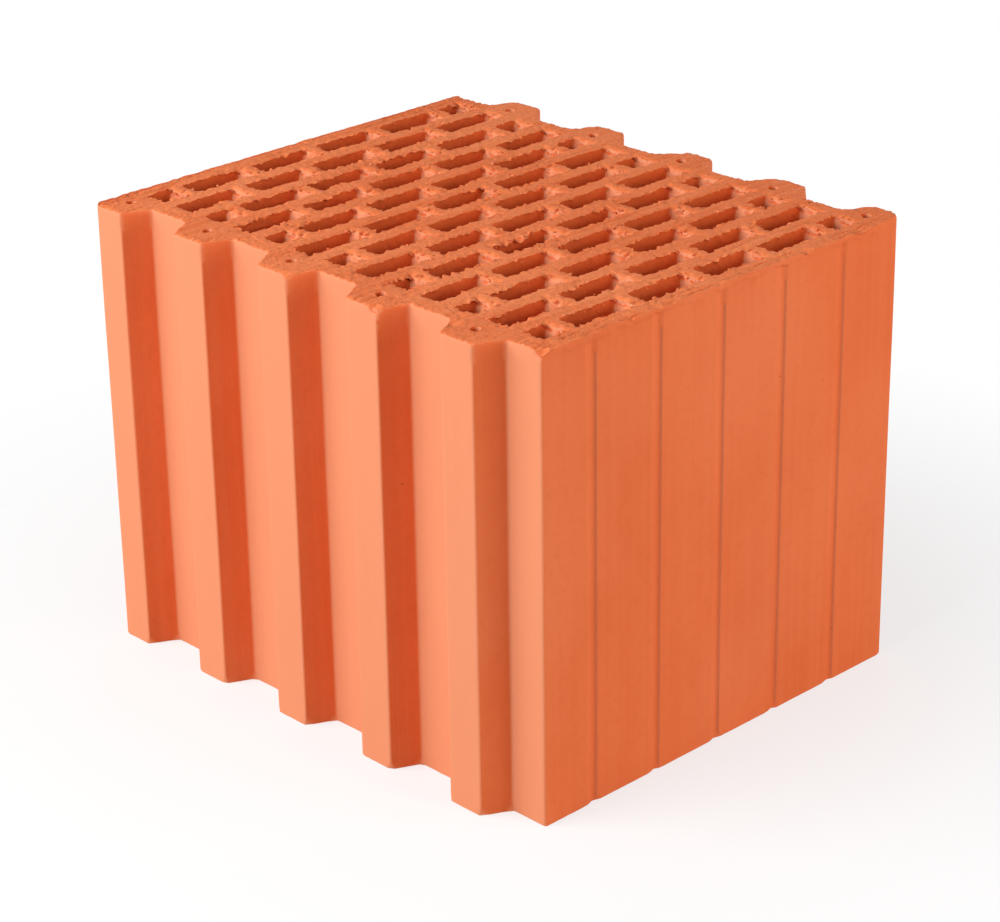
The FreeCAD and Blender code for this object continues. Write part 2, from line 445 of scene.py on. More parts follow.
class CutFace:
    """A wire-cut face as a grid that follows the holes and the outline."""

    # Distances between grid lines along and across the wall and in the ends, as shares of the spacing
    SHARE_ALONG = 1.12
    SHARE_ACROSS = 0.88
    SHARE_IN_ENDS = 1.3
    LEAST_END_STEPS = 6
    # How much larger the mouth of a small bore is than the bore, in radius
    MOUTH_WIDENING = 0.9

    def __init__(self, section, spacing):
        self.section = section
        self.points = []
        self.faces = []
        self.numbers = {}
        self.make_lines(spacing)
        self.fill_cells()
        self.loops = self.find_loops()

    def refine_rims(self):
        """Puts a point in the middle of every edge of the rims inside the outline, for finer torn lines."""
        owners = {}
        for face in self.faces:
            for a, b in zip(face, face[1:] + face[:1]):
                owners[(a, b)] = face
        for number, loop in enumerate(self.loops[1:], start=1):
            finer = []
            for a, b in zip(loop, loop[1:] + loop[:1]):
                middle = len(self.points)
                self.points.append(tuple((p + q) / 2.0 for p, q in zip(self.points[a], self.points[b])))
                face = owners[(a, b)]
                face.insert(face.index(a) + 1, middle)
                finer += [a, middle]
            self.loops[number] = finer

    def make_lines(self, spacing):
        """Grid lines at all hole edges, and shares of the shells outside them."""
        section = self.section
        breaks_x = [edge for box in section.holes for edge in box[:2]]
        breaks_y = [edge for box in section.holes for edge in box[2:]]
        score_steps = range(-section.score_steps, section.score_steps + 1)
        score_bottoms = [step * section.score_pitch for step in score_steps]
        core_x = divided(merged(breaks_x + score_bottoms), spacing * self.SHARE_ALONG)
        core_y = divided(merged(breaks_y), spacing * self.SHARE_ACROSS)
        end_steps = round((section.tip_x - section.row_end) / spacing / self.SHARE_IN_ENDS)
        end_steps = max(self.LEAST_END_STEPS, end_steps)
        end_shares = [step / end_steps for step in range(1, end_steps + 1)]
        face_shares = shell_steps(section.face_y - section.row_edge, spacing)
        self.lines_x = [(-1, share) for share in reversed(end_shares)]
        self.lines_x += [(0, x) for x in core_x]
        self.lines_x += [(1, share) for share in end_shares]
        self.lines_y = [(-1, share) for share in reversed(face_shares)]
        self.lines_y += [(0, y) for y in core_y]
        self.lines_y += [(1, share) for share in face_shares]

    def place(self, column, row):
        """Where a grid crossing lies on the face."""
        section = self.section
        side_x, value_x = self.lines_x[column]
        side_y, value_y = self.lines_y[row]
        y = value_y
        if side_y:
            y = side_y * (section.row_edge + value_y * (section.face_y - section.row_edge))
        x = value_x
        if side_x:
            reach = section.end_reach(side_x, y)
            x = side_x * (section.row_end + value_x * (reach - section.row_end))
        if side_y:
            face = section.face_y - section.score_line(-side_y * x)
            y = side_y * (section.row_edge + value_y * (face - section.row_edge))
        return x, y

    def number(self, column, row):
        """The number of the point at a grid crossing, made when it is first asked for."""
        key = (column, row)
        if key not in self.numbers:
            self.numbers[key] = len(self.points)
            self.points.append(self.place(column, row))
        return self.numbers[key]

    def fill_cells(self):
        """One quad in each cell of clay, and a triangle where a hole's corner is cut off."""
        section = self.section
        wide = len(self.lines_x)
        deep = len(self.lines_y)
        open_cells = np.zeros((wide - 1, deep - 1), dtype=bool)
        for low_x, high_x, low_y, high_y in section.holes:
            columns = [i for i in range(wide - 1) if self.inside(self.lines_x, i, low_x, high_x)]
            rows = [j for j in range(deep - 1) if self.inside(self.lines_y, j, low_y, high_y)]
            open_cells[columns[0]:columns[-1] + 1, rows[0]:rows[-1] + 1] = True
            self.cut_corners(columns, rows)
        for place in section.pins:
            self.open_pin(open_cells, place)
        for i in range(wide - 1):
            for j in range(deep - 1):
                if not open_cells[i, j]:
                    corners = ((i, j), (i + 1, j), (i + 1, j + 1), (i, j + 1))
                    self.faces.append([self.number(*corner) for corner in corners])

    def inside(self, lines, index, low, high):
        """Whether the cell after a grid line lies between two places of the core."""
        if lines[index][0] or lines[index + 1][0]:
            return False
        middle = (lines[index][1] + lines[index + 1][1]) / 2.0
        return low < middle < high

    def cut_corners(self, columns, rows):
        """Triangles of clay in the four corner cells of a hole."""
        left, right = columns[0], columns[-1] + 1
        front, back = rows[0], rows[-1] + 1
        for i, step_i in ((left, 1), (right, -1)):
            for j, step_j in ((front, 1), (back, -1)):
                corner = [self.number(i, j), self.number(i + step_i, j), self.number(i, j + step_j)]
                self.faces.append(corner if step_i * step_j > 0 else corner[::-1])

    def open_pin(self, open_cells, place):
        """Opens the cells over a small bore and draws their edge onto its circle."""
        radius = self.section.pin_radius + self.MOUTH_WIDENING
        opened_within = 0.95 * radius
        moved_beyond = 0.4 * radius
        hit = []
        for i in range(len(self.lines_x) - 1):
            if not self.lines_x[i][0] or not self.lines_x[i + 1][0]:
                continue
            for j in range(len(self.lines_y) - 1):
                low = self.place(i, j)
                high = self.place(i + 1, j + 1)
                middle = ((low[0] + high[0]) / 2.0, (low[1] + high[1]) / 2.0)
                if math.dist(middle, place) < opened_within:
                    hit.append((i, j))
        for i, j in hit:
            open_cells[i, j] = True
        edge = {(i + di, j + dj) for i, j in hit for di in (0, 1) for dj in (0, 1)}
        for i, j in edge:
            x, y = self.place(i, j)
            away = math.dist((x, y), place)
            if away > moved_beyond:
                self.points[self.number(i, j)] = (
                    place[0] + (x - place[0]) * radius / away,
                    place[1] + (y - place[1]) * radius / away)

    def find_loops(self):
        """Closed loops of point numbers along the edges of the clay, outline first."""
        directed = {edge for face in self.faces for edge in zip(face, face[1:] + face[:1])}
        onwards = {a: b for a, b in directed if (b, a) not in directed}
        loops = []
        while onwards:
            start = min(onwards)
            loop = [start]
            following = onwards.pop(start)
            while following != start:
                loop.append(following)
                following = onwards.pop(following)
            loops.append(loop)
        loops.sort(key=lambda loop: -abs(loop_area([self.points[n] for n in loop])))
        return loops


def loop_area(points):
    """Signed area of a closed loop, positive when it runs counter-clockwise."""
    return sum(a[0] * b[1] - b[0] * a[1] for a, b in zip(points, points[1:] + points[:1])) / 2.0


def loop_normals(points):
    """Unit normals of a closed loop, to the right of its direction."""
    normals = []
    for before, after in zip(points[-1:] + points[:-1], points[1:] + points[:1]):
        along = Vector((after[0] - before[0], after[1] - before[1]))
        along = along.normalized() if along.length > 1e-9 else Vector((1.0, 0.0))
        normals.append((along.y, -along.x))
    return normals


def zipped(ring_a, ring_b, numbers_a, numbers_b):
    """Triangles between two closed rings that run the same way, whatever their point counts."""
    start = min(range(len(ring_b)), key=lambda n: math.dist(ring_b[n], ring_a[0]))
    ring_b = ring_b[start:] + ring_b[:start]
    numbers_b = numbers_b[start:] + numbers_b[:start]
    count_a = len(ring_a)
    count_b = len(ring_b)
    faces = []
    i = 0
    j = 0
    while i < count_a or j < count_b:
        next_a = ring_a[(i + 1) % count_a]
        next_b = ring_b[(j + 1) % count_b]
        cost_a = math.dist(next_a, ring_b[j % count_b])
        cost_b = math.dist(next_b, ring_a[i % count_a])
        if j >= count_b or (i < count_a and cost_a <= cost_b):
            faces.append((numbers_a[i % count_a], numbers_b[j % count_b], numbers_a[(i + 1) % count_a]))
            i += 1
        else:
            faces.append((numbers_a[i % count_a], numbers_b[j % count_b], numbers_b[(j + 1) % count_b]))
            j += 1
    return faces


def uneven(x, y, length_x, length_y, layer):
    """Smooth noise from -1 to 1 whose lumps have about these lengths; each layer has its own pattern."""
    return noise.noise(Vector((x / length_x, y / length_y, layer)))


def draws(place, spacing, layer, count):
    """Numbers from 0 to 1 that look random and are the same in every run."""
    return [0.5 + 0.5 * noise.cell(Vector((place, number * spacing, layer))) for number in range(count)]


class Relief:
    """The marks of the cutting wire and of handling, in millimetres."""

    # How far the cut faces lie under their planes where nothing is torn
    CUT_LOSS = 0.5
    # How deep the wire's wear goes at the +X end of a hole, and which sides of a hole it reaches
    WEAR_DEPTH = 5.0
    WORN_FACING = 0.3
    SLIT_DEPTH = 1.9
    SLIT_HALF_WIDTH = 0.9
    # The long torn lines of the shells: distances from the flat face, depth and half width
    LINE_PLACES = (2.4, 5.6)
    LINE_DEPTH = 0.85
    LINE_HALF_WIDTH = 1.1
    # Places where the cut tore out more clay: x, y, reach and strength
    TORN = (
        (-22.0, -46.0, 16.0, 2.2),
        (-88.0, 66.0, 13.0, 1.8),
        (16.0, 21.0, 10.0, 2.2),
        (14.0, -22.0, 9.0, 1.6),
        (8.0, 104.0, 12.0, 1.4),
        (-100.0, -44.0, 10.0, 1.6),
        (-30.0, -140.0, 16.0, 1.2),
        (66.0, -46.0, 9.0, 1.6),
        (60.0, 44.0, 12.0, 1.4),
        (104.0, 134.0, 12.0, 1.6),
    )
    # Chipped edges of the outline at the upper face: x, y, reach and depth
    CHIPS = (
        (131.0, -1.0, 8.0, 7.0),
        (-131.0, -57.5, 4.0, 2.4),
        (-116.0, -149.5, 5.0, 2.2),
        (-131.0, 3.0, 4.0, 1.4),
        (60.0, -150.0, 5.0, 1.4),
        (100.0, -150.0, 7.0, 1.8),
        (-60.0, -150.0, 4.0, 1.2),
        (-120.0, -96.0, 5.0, 1.6),
    )

    def __init__(self, section, sizes):
        self.section = section
        self.drag = sizes.drag_height / MM
        self.grain = sizes.grain_height / MM
        self.tear = sizes.rim_tear / MM
        self.end_wear = sizes.end_wear / MM
        self.smear_depth = sizes.smear_depth / MM
        boxes = np.array(section.holes)
        self.low = boxes[:, (0, 2)]
        self.high = boxes[:, (1, 3)]
        self.slits = self.slit_places()

    def slit_places(self):
        """Small slits that tear open in the webs past the +X end of many holes: x, y and half length."""
        places = []
        for number, (low_x, high_x, low_y, high_y) in enumerate(self.section.holes):
            chance, along, across, size = draws(number * 2.3 + 0.5, 5.7, 9.0, 4)
            if chance < 0.5 and high_x < self.section.row_end - 1.0:
                x = high_x + 2.6 + 2.2 * along
                y = (low_y + high_y) / 2.0 + (across - 0.4) * self.section.hole_width * 0.7
                places.append((x, y, 1.3 + 1.5 * size))
        return np.array(places)

    def nearest_hole(self, x, y):
        """Distance to the nearest hole, and the direction that leads away from it."""
        here = np.array((x, y))
        nearest = np.clip(here, self.low, self.high)
        gaps = here - nearest
        distances = np.hypot(gaps[:, 0], gaps[:, 1])
        best = int(np.argmin(distances))
        distance = float(distances[best])
        if distance > 1e-6:
            return distance, tuple(gaps[best] / distance)
        low, high = self.low[best], self.high[best]
        sides = ((x - low[0], (-1.0, 0.0)), (high[0] - x, (1.0, 0.0)),
                 (y - low[1], (0.0, -1.0)), (high[1] - y, (0.0, 1.0)))
        return 0.0, min(sides)[1]

    def torn(self, x, y):
        """How strongly the clay is torn at a place; 1 is usual."""
        strength = 0.6 + 0.75 * smooth_step(-0.25, 0.45, uneven(x, y, 19.0, 15.0, 3.1))
        strength *= 1.0 - 0.4 * smooth_step(60.0, 125.0, x)
        for place_x, place_y, reach, extra in self.TORN:
            away = math.dist((x, y), (place_x, place_y)) / reach
            if away < 1.0:
                strength += extra * (1.0 - away * away)
        return strength

    def worn_end(self, x, y, away, depth):
        """How far the edge at the +X end of a hole is rounded off at a depth under the cut."""
        if away[0] < self.WORN_FACING or depth > self.WEAR_DEPTH:
            return 0.0
        ragged = 0.9 + 0.8 * uneven(x, y, 9.0, 4.5, 83.0)
        return self.end_wear * away[0] * max(0.2, ragged) * (1.0 - depth / self.WEAR_DEPTH) ** 2

    def sideways(self, x, y, away, depth):
        """How far a hole's edge moves into the clay at a depth under the cut; negative is a burr."""
        coarse = uneven(x, y, 3.4, 3.4, 7.0 + depth / 4.5)
        fine = uneven(x, y, 1.3, 1.3, 2.0 + depth / 1.6)
        burr = max(0.0, uneven(x, y, 6.0, 4.0, 19.0) - 0.12)
        fringe = max(0.0, uneven(x, y, 2.1, 2.1, 27.0) + 0.1)
        strength = self.torn(x, y)
        jag = self.tear * (0.7 * coarse + 0.75 * fine) * math.exp(-depth / 3.0)
        lip = self.tear * (2.4 * burr + 0.95 * fringe) * math.exp(-depth / 0.8)
        hollow = self.tear * 0.4 * math.exp(-((depth - 1.9) / 1.3) ** 2)
        worn = 1.0 if away[0] < self.WORN_FACING else 0.45
        return strength * worn * (jag - lip + hollow) + self.worn_end(x, y, away, depth)

    def slit_depth(self, x, y):
        """How deep a small torn slit is at a place."""
        gap_x = (self.slits[:, 0] - x) / self.slits[:, 2]
        gap_y = (self.slits[:, 1] - y) / self.SLIT_HALF_WIDTH
        away = float(np.hypot(gap_x, gap_y).min())
        return self.SLIT_DEPTH * max(0.0, 1.0 - away) ** 0.7

    def shell_lines(self, x, y):
        """How deep the two long torn lines are that follow each flat face."""
        depth = 0.0
        for place in self.LINE_PLACES:
            wander = 0.8 * uneven(x, place, 26.0, 1.0, 45.0)
            open_here = smooth_step(-0.3, 0.2, uneven(x, place, 8.0, 1.0, 49.0 + y / 90.0))
            across = abs(self.section.face_y - abs(y) - place - wander)
            depth = max(depth, self.LINE_DEPTH * open_here * max(0.0, 1.0 - across / self.LINE_HALF_WIDTH))
        return depth

    def lowered(self, x, y, distance, away, edge_distance):
        """How far the cut face lies under its plane; it never stands above it."""
        strength = self.torn(x, y)
        drag = uneven(x, y, 46.0, 1.8, 0.5)
        drag += 0.7 * uneven(x, y, 22.0, 0.95, 5.5)
        patch = smooth_step(-0.3, 0.35, uneven(x, y, 28.0, 18.0, 11.0))
        grain = noise.fractal(Vector((x / 2.6, y / 2.0, 1.5)), 0.7, 2.1, 3)
        pit = max(0.0, uneven(x, y, 3.4, 2.2, 31.0) - 0.38) * 3.0
        rim = max(0.0, 1.0 - distance / 2.6)
        rim_noise = 0.35 + 1.1 * uneven(x, y, 3.6, 3.0, 23.0)
        edge = max(0.0, 1.0 - edge_distance / 1.8)
        low = self.CUT_LOSS + self.drag * drag * (0.5 + 0.9 * patch)
        low += self.grain * (0.5 + 0.6 * strength) * grain
        low += 1.1 * pit * strength * (0.3 + 0.7 * rim)
        low += self.tear * 0.8 * strength * rim * rim * max(-0.4, rim_noise)
        low += 1.15 * self.worn_end(x, y, away, 0.0) * max(0.0, 1.0 - distance / self.WEAR_DEPTH) ** 2
        low += self.slit_depth(x, y) + self.shell_lines(x, y)
        low += 0.45 * edge * edge * (1.0 + uneven(x, y, 5.0, 5.0, 41.0))
        return low

    def chipped(self, x, y):
        """How deep the outline is chipped at a place of the upper edge."""
        depth = 0.0
        for place_x, place_y, reach, extra in self.CHIPS:
            away = math.dist((x, y), (place_x, place_y)) / reach
            if away < 1.0:
                ragged = 1.0 + 0.5 * uneven(x, y, 1.7, 1.7, 51.0)
                depth = max(depth, extra * (1.0 - away ** 1.6) * ragged)
        return depth

    def smear(self, x, depth):
        """Share of the smeared clay that covers a flat face at a depth under the upper edge."""
        reach = self.smear_depth * (0.75 + 0.8 * uneven(x, 7.7, 17.0, 1.0, 91.0))
        reach += self.smear_depth * 0.55 * uneven(x, 3.1, 4.2, 1.0, 95.0)
        reach += self.smear_depth * 0.25 * uneven(x, 1.1, 1.6, 1.0, 97.0)
        return 1.0 - smooth_step(reach - 0.5, reach + 0.6, depth)

    def outline_shift(self, x, y, normal, depth):
        """How a place of the outline moves at a depth under the upper edge, as (x, y)."""
        lump = uneven(x, y, 4.2, 4.2, 61.0 + depth / 2.0)
        fine = uneven(x, y, 1.7, 1.7, 67.0 + depth / 1.2)
        ragged = smooth_step(-0.2, 0.4, uneven(x, y, 21.0, 21.0, 71.0))
        inward = 0.3 * math.exp(-depth / 0.7) + 0.55 * self.chipped(x, y) * math.exp(-depth / 2.6)
        if not self.section.on_flat(x, y):
            inward += (0.12 + 0.25 * ragged) * (0.42 * lump + 0.22 * fine) * math.exp(-depth / 3.0)
            return -normal[0] * inward, -normal[1] * inward
        side = math.copysign(1.0, y)
        groove = self.section.face_y - abs(y)
        cover = self.smear(x * side, depth)
        outward = cover * (0.8 * groove + 0.42 + 0.45 * lump + 0.3 * fine)
        outward += (1.0 - cover) * 0.12 * lump * math.exp(-depth / 6.0)
        return 0.0, side * (outward - inward)


class BlockMesh:
    """Points and faces of the whole block, closed, with a material number on every face."""

    PRESSED, CUT, HOLE = 0, 1, 2
    # Depths of the fine levels under the upper cut face: outside, in a hole and in a small bore
    OUTER_DEPTHS = (0.5, 1.1, 1.8, 2.6, 3.5, 4.6, 6.2, 9.0)
    HOLE_DEPTHS = (0.9, 2.4, 4.8)
    PIN_DEPTHS = (3.0,)
    # The plain levels below: their distances from the fine ones and from the ground, and their steps
    PLAIN_GAP = 2.5
    PLAIN_FOOT = 4.0
    OUTER_STEPS = 9
    HOLE_STEPS = 3
    # How far the relief's pattern is moved for the lower face, so that it isn't the upper one again
    LOWER_PATTERN = (37.0, 400.0)
    # The lower face is torn less, and the block's weight has pressed it flatter
    LOWER_CALM = 0.55
    LOWER_FLAT = 0.4
    # The edges along the back are torn less than those along the front
    BACK_EDGE_SHARE = 0.45
    # How far tears reach sideways from a hole, and chips from the outline
    TEAR_REACH = 3.5
    CHIP_REACH = 8.0
    # The fine levels follow the cut face down to this much under its usual level
    MOST_SUNK = 2.6

    def __init__(self, section, relief, sizes):
        self.section = section
        self.relief = relief
        self.points = []
        self.faces = []
        self.materials = []
        top = CutFace(section, sizes.top_spacing / MM)
        top.refine_rims()
        bottom = CutFace(section, sizes.bottom_spacing / MM)
        top_loops = self.add_cut(top, True)
        bottom_loops = self.add_cut(bottom, False)
        self.join_walls(top_loops, bottom_loops)

    def add_point(self, x, y, z):
        """Adds a point and gives its number."""
        self.points.append((x * MM, y * MM, z * MM))
        return len(self.points) - 1

    def add_face(self, numbers, material):
        """Adds a face of one material."""
        self.faces.append(tuple(numbers))
        self.materials.append(material)

    def add_cut(self, cut, upper):
        """Adds a wire-cut face with its relief, and gives its loops as (plan points, numbers)."""
        on_loop = {}
        for index, loop in enumerate(cut.loops):
            plan = [cut.points[n] for n in loop]
            for n, normal in zip(loop, loop_normals(plan)):
                on_loop[n] = (index == 0, normal)
        outline = np.array([cut.points[n] for n in cut.loops[0]])
        first = len(self.points)
        for n, (x, y) in enumerate(cut.points):
            self.add_relief_point(x, y, upper, on_loop.get(n), outline)
        for face in cut.faces:
            numbers = [first + n for n in face]
            self.add_face(numbers if upper else numbers[::-1], self.CUT)
        return [([cut.points[n] for n in loop], [first + n for n in loop]) for loop in cut.loops]

    def add_relief_point(self, x, y, upper, on_loop, outline):
        """Adds one point of a cut face, moved by the tears, drag lines and chips."""
        relief = self.relief
        section = self.section
        key_x, key_y = x, y
        calm = 1.0
        if not upper:
            key_x, key_y = self.LOWER_PATTERN[0] - x, self.LOWER_PATTERN[1] + y
            calm = self.LOWER_CALM
        on_outline = on_loop and on_loop[0]
        distance, away = relief.nearest_hole(x, y)
        edge_distance = section.LEAST_SHELL
        if section.near_outline(x, y):
            edge_distance = float(np.hypot(outline[:, 0] - x, outline[:, 1] - y).min())
        shift_x = 0.0
        shift_y = 0.0
        if on_outline:
            if upper:
                shift_x, shift_y = relief.outline_shift(x, y, on_loop[1], 0.0)
        elif distance < self.TEAR_REACH and not section.near_pin(x):
            aside = relief.sideways(key_x, key_y, away, 0.0) * math.exp(-distance / 1.1) * calm
            shift_x = away[0] * aside
            shift_y = away[1] * aside
        low = relief.lowered(key_x, key_y, distance, away, edge_distance) * calm
        if on_outline and y > 0.0 and section.near_face(y):
            low *= self.BACK_EDGE_SHARE
        if upper and edge_distance < self.CHIP_REACH:
            low += relief.chipped(x, y)
        low = max(low, 0.0)
        z = section.height - low if upper else low * self.LOWER_FLAT
        self.add_point(x + shift_x, y + shift_y, z)

    def join_walls(self, top_loops, bottom_loops):
        """Walls from every loop of the upper face down to the same loop of the lower face."""
        rings = [self.section.outline_ring()]
        rings += [self.section.hole_ring(box) for box in self.section.holes]
        rings += [self.section.pin_ring(place) for place in self.section.pins]
        for ring in rings:
            outer = ring is rings[0]
            centre = np.mean(np.array(ring), axis=0)
            top = self.matching(top_loops, centre, outer)
            bottom = self.matching(bottom_loops, centre, outer)
            self.wall(ring, top, bottom, outer)

    def matching(self, loops, centre, outer):
        """The loop of a cut face that belongs to a ring of the section."""
        if outer:
            return loops[0]
        return min(loops[1:], key=lambda loop: math.dist(np.mean(np.array(loop[0]), axis=0), centre))

    def wall(self, ring, top, bottom, outer):
        """One wall: fine levels under the cut that follow its tears, and plain levels down to the foot."""
        material = self.PRESSED if outer else self.HOLE
        pin = not outer and self.section.near_pin(ring[0][0])
        depths = self.OUTER_DEPTHS if outer else self.PIN_DEPTHS if pin else self.HOLE_DEPTHS
        cut_level = self.section.height - self.relief.CUT_LOSS
        plan, numbers = top
        normals = loop_normals(plan)
        sunk = [cut_level - self.points[n][2] / MM for n in numbers]
        for step, depth in enumerate(depths):
            coarser = step == 1 and not outer
            if coarser:
                plan, normals, sunk = plan[::2], normals[::2], sunk[::2]
            level = []
            for (x, y), normal, low in zip(plan, normals, sunk):
                shift_x, shift_y = self.wall_shift(x, y, normal, depth, outer, pin)
                z = cut_level - depth - min(low, self.MOST_SUNK) * math.exp(-depth / 3.0)
                level.append(self.add_point(x + shift_x, y + shift_y, z))
            if coarser:
                self.coarser_strip(numbers, level, material)
            else:
                self.strip(numbers, level, material)
            numbers = level
        self.lower_wall(ring if outer else ring[::-1], plan, numbers, bottom, depths[-1], material, outer)

    def wall_shift(self, x, y, normal, depth, outer, pin):
        """How a place of a wall moves at a depth under the cut, as (x, y); a small bore stays round."""
        if outer:
            return self.relief.outline_shift(x, y, normal, depth)
        if pin:
            return 0.0, 0.0
        away = (-normal[0], -normal[1])
        aside = self.relief.sideways(x, y, away, depth)
        return away[0] * aside, away[1] * aside

    def lower_wall(self, ring, plan, numbers, bottom, depth, material, outer):
        """The plain part of a wall, from its fine levels down to the lower cut face."""
        start = self.section.height - depth - self.PLAIN_GAP
        steps = self.OUTER_STEPS if outer else self.HOLE_STEPS
        levels = [start + (self.PLAIN_FOOT - start) * step / steps for step in range(steps + 1)]
        plain = None
        for z in levels:
            level = [self.add_point(*self.wavy(x, y, z, outer), z) for x, y in ring]
            if plain is None:
                for face in zipped(plan, ring, numbers, level):
                    self.add_face(face, material)
            else:
                self.strip(plain, level, material)
            plain = level
        for face in zipped(ring, bottom[0], plain, bottom[1]):
            self.add_face(face, material)

    def wavy(self, x, y, z, outer):
        """A slight unevenness of the pressed walls."""
        size = 0.22 if outer else 0.12
        lean_x = size * uneven(x, y, 60.0, 60.0, z / 70.0 + 5.0)
        lean_y = size * uneven(x, y, 60.0, 60.0, z / 70.0 + 25.0)
        return x + lean_x, y + lean_y

    def coarser_strip(self, upper, lower, material):
        """Faces from a level to one that has only every other of its points."""
        count = len(lower)
        for n in range(count):
            following = (n + 1) % count
            after = upper[(2 * n + 2) % len(upper)]
            self.add_face((upper[2 * n], lower[n], lower[following], after, upper[2 * n + 1]), material)

    def strip(self, upper, lower, material):
        """Quads between two levels with the same number of points."""
        count = len(upper)
        for n in range(count):
            following = (n + 1) % count
            self.add_face((upper[n], lower[n], lower[following], upper[following]), material)


def mesh_object(name, points, faces):
    """A mesh object in the scene."""
    mesh = bpy.data.meshes.new(name)
    mesh.from_pydata(points, [], faces)
    mesh.update()
    thing = bpy.data.objects.new(name, mesh)
    bpy.context.scene.collection.objects.link(thing)
    return thing


def feed(tree, value, socket):
    """Gives a socket its value: another socket, a number, a vector or a plain colour."""
    if isinstance(value, bpy.types.NodeSocket):
        tree.links.new(value, socket)
    elif socket.type == "RGBA":
        socket.default_value = (*value, 1.0)
    else:
        socket.default_value = value


def add_node(tree, kind, inputs=None, **settings):
    """A shader node with its own settings, and its inputs fed by their name or number."""
    node = tree.nodes.new(kind)
    for name, value in settings.items():
        setattr(node, name, value)
    for name, value in (inputs or {}).items():
        feed(tree, value, node.inputs[name])
    return node


def colour_mix(tree, share, first, second):
    """The colour between two, by a share."""
    node = add_node(tree, "ShaderNodeMix", data_type="RGBA")
    for number, value in ((0, share), (6, first), (7, second)):
        feed(tree, value, node.inputs[number])
    return node.outputs[2]


def shader_mix(tree, share, first, second):
    """The shader between two, by a share."""
    return add_node(tree, "ShaderNodeMixShader", {0: share, 1: first, 2: second}).outputs[0]


def number_step(tree, value, low, high, to_low=0.0, to_high=1.0):
    """A value spread from one range to another, and held there."""
    inputs = {"Value": value, "From Min": low, "From Max": high, "To Min": to_low, "To Max": to_high}
    return add_node(tree, "ShaderNodeMapRange", inputs).outputs["Result"]


def arithmetic(tree, operation, first, second):
    """One step of arithmetic on sockets or numbers."""
    return add_node(tree, "ShaderNodeMath", {0: first, 1: second}, operation=operation).outputs[0]


def weighted_sum(tree, *terms):
    """The sum of terms, each a value and its weight."""
    total = None
    for value, weight in terms:
        part = arithmetic(tree, "MULTIPLY", value, weight)
        total = part if total is None else arithmetic(tree, "ADD", total, part)
    return total


def stretched(tree, place, lengths):
    """A place divided by a length on each axis, so that a pattern of size 1 takes those lengths."""
    return add_node(tree, "ShaderNodeVectorMath", {0: place, 1: lengths}, operation="DIVIDE").outputs[0]


def noise_value(tree, place, lengths, detail, roughness):
    """A noise value at a place, with lumps of about these lengths along the axes."""
    inputs = {
        "Vector": stretched(tree, place, lengths), "Scale": 1.0, "Detail": detail, "Roughness": roughness,
    }
    return add_node(tree, "ShaderNodeTexNoise", inputs).outputs["Fac"]


def new_group(name, inputs, outputs):
    """A shader node group with its inputs and outputs named."""
    group = bpy.data.node_groups.new(name, "ShaderNodeTree")
    for label, kind in inputs:
        group.interface.new_socket(name=label, in_out="INPUT", socket_type=kind)
    for label, kind in outputs:
        group.interface.new_socket(name=label, in_out="OUTPUT", socket_type=kind)
    return group, group.nodes.new("NodeGroupInput"), group.nodes.new("NodeGroupOutput")


def clay_tone_group():
    """Soft blotches, bloom and long streaks of the fired body."""
    group, given, result = new_group(
        "Clay Tone",
        [("Place", "NodeSocketVector"), ("Base", "NodeSocketColor"), ("Pale", "NodeSocketColor"),
         ("Deep", "NodeSocketColor"), ("Streak Stretch", "NodeSocketVector")],
        [("Color", "NodeSocketColor"), ("Streak", "NodeSocketFloat")])
    place = given.outputs["Place"]
    blotch = noise_value(group, place, (0.055, 0.055, 0.075), 3.0, 0.6)
    bloom_and_painted_highlight = noise_value(group, place, (0.11, 0.09, 0.13), 2.0, 0.5)
    fleck = noise_value(group, place, (0.0045, 0.0045, 0.0045), 2.0, 0.6)
    streak = noise_value(group, place, given.outputs["Streak Stretch"], 2.0, 0.5)
    # Each layer over the base tone: its noise, where it starts and is full, its most, and its colour
    layers = (
        (blotch, 0.42, 0.78, 0.55, "Deep"),
        (bloom_and_painted_highlight, 0.45, 0.75, 0.5, "Pale"),
        (streak, 0.4, 0.7, 0.22, "Pale"),
        (fleck, 0.5, 0.8, 0.25, "Deep"),
    )
    tone = given.outputs["Base"]
    for value, low, high, most, colour in layers:
        share = number_step(group, value, low, high, 0.0, most)
        tone = colour_mix(group, share, tone, given.outputs[colour])
    feed(group, tone, result.inputs["Color"])
    feed(group, streak, result.inputs["Streak"])
    return group


